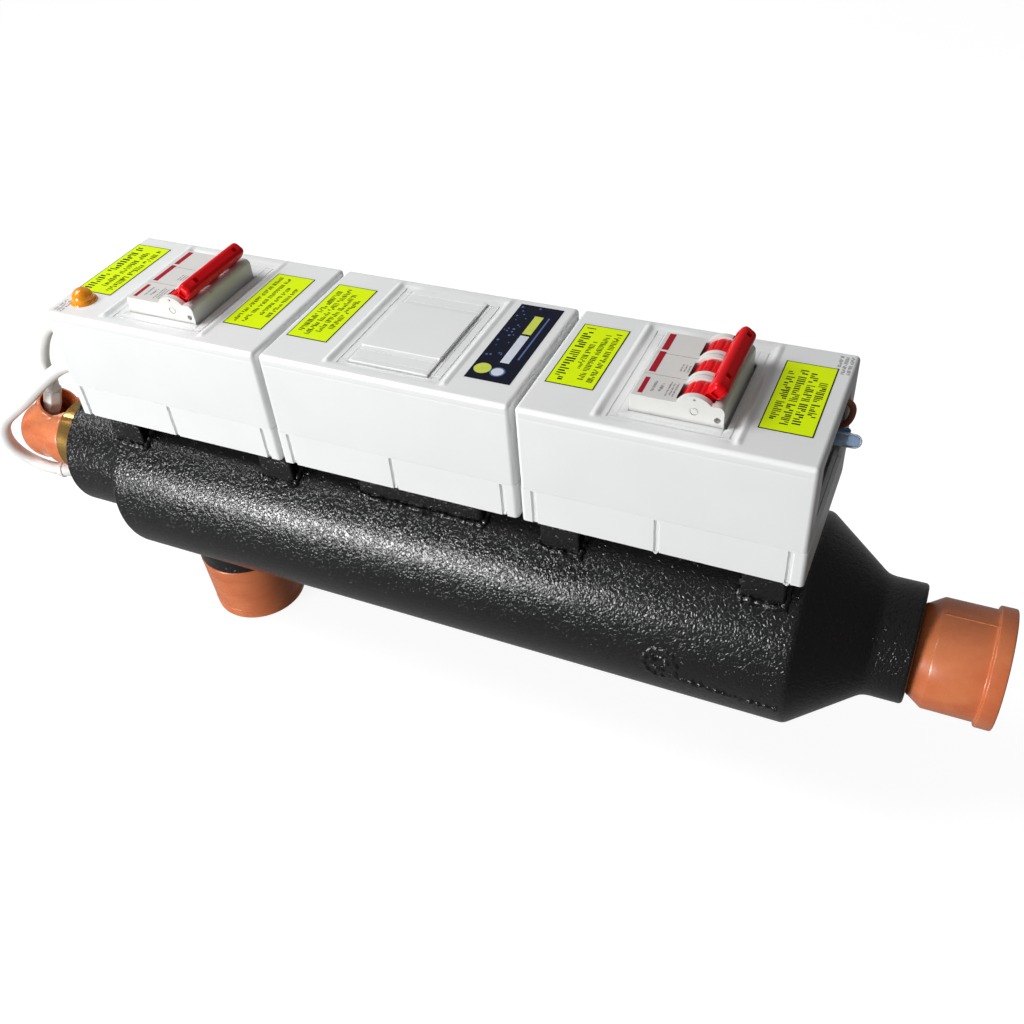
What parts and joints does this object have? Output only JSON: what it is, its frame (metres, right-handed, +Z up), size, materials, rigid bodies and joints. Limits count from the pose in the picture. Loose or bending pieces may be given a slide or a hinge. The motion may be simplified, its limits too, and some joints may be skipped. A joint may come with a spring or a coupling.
{
  "type": "electric pool heater",
  "caption": "In-line electric pool heater: a black steel flow vessel with plastic pipe couplings, and white breaker enclosures with toggle handles along its back.",
  "frame": {"origin": "centre of the inlet coupling's mouth, in the plane of its lower end face", "axes": "+X along the vessel towards the outlet coupling, +Z up towards the enclosures, +Y towards the side away from the lamp"},
  "size_m": [0.6509, 0.1142, 0.2634],
  "materials": {
    "black_coat": "wrinkled powder coat",
    "brown_pvc": "semi-gloss PVC",
    "white_abs": "gloss ABS",
    "brass": "machined",
    "grey_plastic": "moulded",
    "red_plastic": "moulded",
    "zinc_steel": "zinc plated",
    "element_steel": "stainless",
    "amber_lens": "translucent",
    "white_cable": "PVC sheath",
    "brown_wire": "PVC insulation",
    "blue_wire": "PVC insulation",
    "clear_cap": "clear"
  },
  "bodies": {
    "heater": {"vessel_tube": "black_coat", "outlet_reducer": "black_coat", "inlet_stub": "black_coat", "end_socket": "black_coat", "outlet_coupling": "brown_pvc", "inlet_coupling": "brown_pvc", "sensor_bushing": "brass", "sensor_elbow": "brown_pvc", "sensor_plug": "white_abs", "sensor_lead": "white_cable", "loop_lead": "white_cable", "lead_sleeve": "white_abs", "box_leg_1": "black_coat", "box_leg_2": "black_coat", "box_leg_3": "black_coat", "box_leg_4": "black_coat", "element_neck": "black_coat", "element_flange": "zinc_steel", "heating_element_1": "element_steel", "heating_element_2": "element_steel", "heating_element_3": "element_steel", "box_base_1": "white_abs", "box_base_2": "white_abs", "box_base_3": "white_abs", "din_rail_1": "zinc_steel", "din_rail_2": "zinc_steel", "din_rail_3": "zinc_steel", "breaker_1": "grey_plastic", "breaker_2": "grey_plastic", "toggle_pin_1": "zinc_steel", "toggle_pin_2": "zinc_steel", "contactor": "grey_plastic", "terminal_block_1": "grey_plastic", "terminal_block_2": "grey_plastic", "reset_thermostat": "grey_plastic", "base_screw_1": "zinc_steel", "base_screw_2": "zinc_steel", "base_screw_3": "zinc_steel", "base_screw_4": "zinc_steel", "base_screw_5": "zinc_steel", "base_screw_6": "zinc_steel", "brown_lead": "brown_wire", "blue_lead": "blue_wire", "splice_cap": "clear_cap"},
    "cover_1": {"box_cover_1": "white_abs", "lamp_lens": "amber_lens", "lamp_body": "grey_plastic", "lamp_nut": "grey_plastic"},
    "cover_2": {"box_cover_2": "white_abs", "blanking_plate": "white_abs"},
    "cover_3": {"box_cover_3": "white_abs"},
    "handle_1": {"toggle_1": "red_plastic"},
    "handle_2": {"toggle_2": "red_plastic"},
    "reset_push": {"reset_button": "red_plastic"}
  },
  "joints": [
    {"name": "cover_1_lift", "type": "slide", "parent": "heater", "child": "cover_1", "axis": [0, 0, 1], "range_m": [0, 0.06]},
    {"name": "cover_2_lift", "type": "slide", "parent": "heater", "child": "cover_2", "axis": [0, 0, 1], "range_m": [0, 0.06]},
    {"name": "cover_3_lift", "type": "slide", "parent": "heater", "child": "cover_3", "axis": [0, 0, 1], "range_m": [0, 0.06]},
    {"name": "handle_1_throw", "type": "hinge", "parent": "heater", "child": "handle_1", "pos_m": [0.0285, -0.0025, 0.246], "axis": [0, -1, 0], "range_deg": [0, 80]},
    {"name": "handle_2_throw", "type": "hinge", "parent": "heater", "child": "handle_2", "pos_m": [0.3158, -0.0025, 0.246], "axis": [0, -1, 0], "range_deg": [0, 80]},
    {"name": "reset_press", "type": "slide", "parent": "heater", "child": "reset_push", "axis": [0, 0, 1], "range_m": [0, 0.002], "stiffness_N_per_m": 150}
  ]
}
